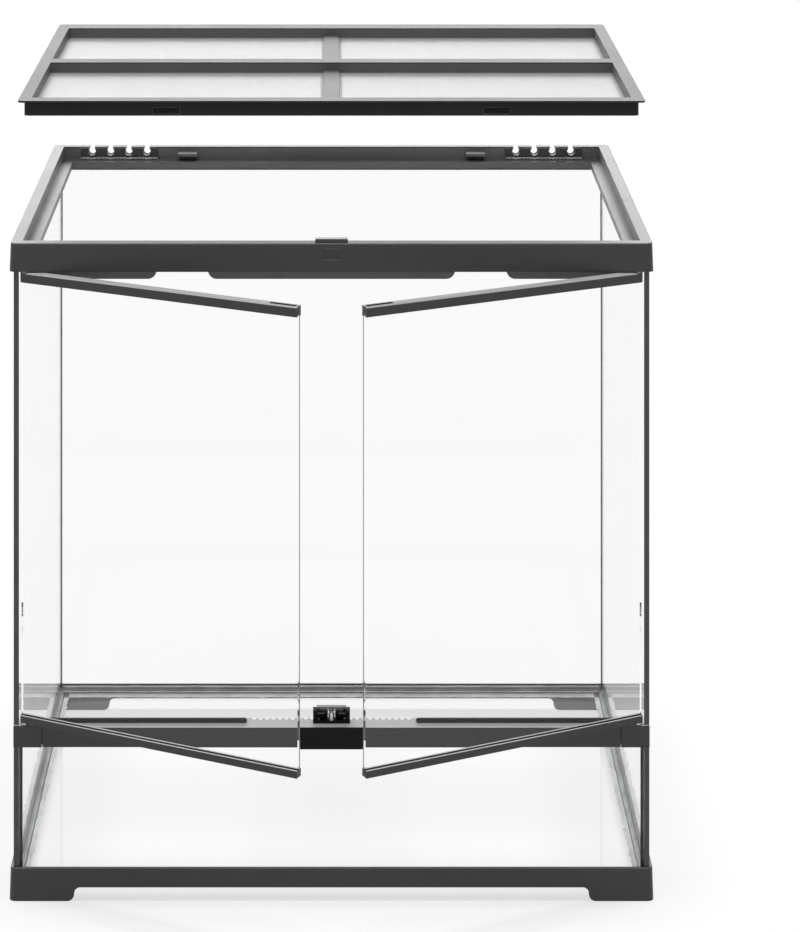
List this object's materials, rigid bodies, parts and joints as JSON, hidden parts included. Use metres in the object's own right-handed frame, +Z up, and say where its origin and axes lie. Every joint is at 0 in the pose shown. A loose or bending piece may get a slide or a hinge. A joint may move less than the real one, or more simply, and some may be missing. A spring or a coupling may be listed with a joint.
{
  "type": "reptile terrarium",
  "caption": "Glass reptile terrarium in charcoal moulded frames, with two hinged glass front doors, a lift-off mesh lid, a door lock and closable cable inlets.",
  "frame": {"origin": "Middle of the bounding box's underside with the doors ajar and the lid lifted: on the surface that the feet stand on, midway between the sides, and midway between the door tips and the back face.", "axes": "+Z up, +X to the right as seen from the front, +Y to the back"},
  "size_m": [0.61, 0.5852, 0.755],
  "materials": {
    "charcoal_plastic": "matte moulded, fine grain",
    "black_plastic": "satin moulded",
    "grey_plastic": "satin moulded",
    "clear_glass": "clear float glass with polished edges",
    "silicone": "glossy cured bead",
    "seal_rubber": "soft matte",
    "steel": "bright turned",
    "mesh": "fine woven wire"
  },
  "bodies": {
    "housing": {"base_frame": "charcoal_plastic", "floor_pane": "clear_glass", "back_pane": "clear_glass", "left_pane": "clear_glass", "right_pane": "clear_glass", "front_pane": "clear_glass", "silicone_seams": "silicone", "sill_rail": "charcoal_plastic", "left_hinge_cap": "charcoal_plastic", "right_hinge_cap": "charcoal_plastic", "centre_plate": "black_plastic", "vent_strip": "charcoal_plastic", "left_seal_bar": "seal_rubber", "right_seal_bar": "seal_rubber", "lock_body": "black_plastic", "lock_post": "steel", "lock_screws": "steel", "top_frame": "charcoal_plastic"},
    "lock_release": {"lock_plate": "grey_plastic"},
    "lid_latch": {"lid_latch": "charcoal_plastic"},
    "left_slider": {"left_inlet_slider": "charcoal_plastic"},
    "right_slider": {"right_inlet_slider": "charcoal_plastic"},
    "left_door": {"left_door_glass": "clear_glass", "left_door_top_rail": "charcoal_plastic", "left_door_bottom_rail": "charcoal_plastic", "left_hinge_pins": "steel"},
    "right_door": {"right_door_glass": "clear_glass", "right_door_top_rail": "charcoal_plastic", "right_door_bottom_rail": "charcoal_plastic", "right_hinge_pins": "steel"},
    "lid": {"lid_frame": "charcoal_plastic", "mesh_front_left": "mesh", "mesh_front_right": "mesh", "mesh_back_left": "mesh", "mesh_back_right": "mesh"}
  },
  "joints": [
    {"name": "left_door_hinge", "type": "hinge", "parent": "housing", "child": "left_door", "pos_m": [-0.2905, -0.16208, 0.17], "axis": [0, 0, 1], "range_deg": [-79.1, 25.9]},
    {"name": "right_door_hinge", "type": "hinge", "parent": "housing", "child": "right_door", "pos_m": [0.2905, -0.16208, 0.17], "axis": [0, 0, -1], "range_deg": [-79.1, 25.9]},
    {"name": "lid_lift", "type": "slide", "parent": "housing", "child": "lid", "axis": [0, 0, 1], "range_m": [-0.131, 0.05]},
    {"name": "lid_latch_slide", "type": "slide", "parent": "housing", "child": "lid_latch", "axis": [0, 1, 0], "range_m": [0, 0.0033]},
    {"name": "lock_press", "type": "slide", "parent": "housing", "child": "lock_release", "axis": [0, 0, -1], "range_m": [0, 0.0012]},
    {"name": "left_slider_slide", "type": "slide", "parent": "housing", "child": "left_slider", "axis": [1, 0, 0], "range_m": [0, 0.01]},
    {"name": "right_slider_slide", "type": "slide", "parent": "housing", "child": "right_slider", "axis": [-1, 0, 0], "range_m": [0, 0.01]}
  ]
}
